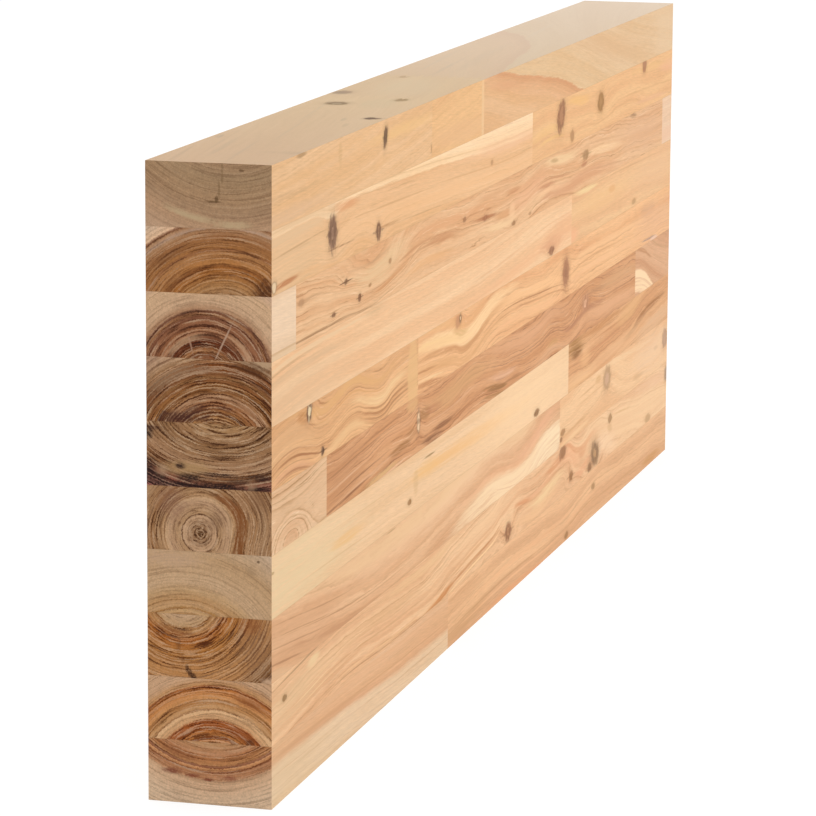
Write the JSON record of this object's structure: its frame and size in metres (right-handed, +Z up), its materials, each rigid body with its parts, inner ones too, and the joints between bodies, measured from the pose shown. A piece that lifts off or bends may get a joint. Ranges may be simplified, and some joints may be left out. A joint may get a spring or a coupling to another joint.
{
  "type": "glulam beam",
  "caption": "Straight rectangular glued laminated timber beam of flat lamellas with finger-jointed boards, for use as a joist, purlin or lintel.",
  "frame": {"origin": "middle of the underside, the narrow face the beam stands on", "axes": "+X along the beam from the near, pictured end to the far end; +Y across the width, away from the pictured side face; +Z up through the height"},
  "size_m": [1.2, 0.08, 0.4],
  "materials": {
    "timber_cream": "planed, unfinished sapwood",
    "timber_pale": "planed, unfinished pale timber",
    "timber_tan": "planed, unfinished tan timber",
    "timber_brown": "planed, unfinished heartwood"
  },
  "bodies": {
    "root": {"lamella_01_board_1": "timber_tan", "lamella_01_board_2": "timber_tan", "lamella_01_board_3": "timber_pale", "lamella_02_board_1": "timber_tan", "lamella_02_board_2": "timber_tan", "lamella_03_board_1": "timber_cream", "lamella_03_board_2": "timber_brown", "lamella_03_board_3": "timber_cream", "lamella_04_board_1": "timber_pale", "lamella_04_board_2": "timber_tan", "lamella_05_board_1": "timber_tan", "lamella_05_board_2": "timber_brown", "lamella_06_board_1": "timber_tan", "lamella_06_board_2": "timber_brown", "lamella_06_board_3": "timber_tan", "lamella_07_board_1": "timber_cream", "lamella_07_board_2": "timber_brown", "lamella_08_board_1": "timber_tan", "lamella_08_board_2": "timber_tan", "lamella_09_board_1": "timber_tan", "lamella_10_board_1": "timber_tan", "lamella_10_board_2": "timber_tan"}
  },
  "joints": []
}
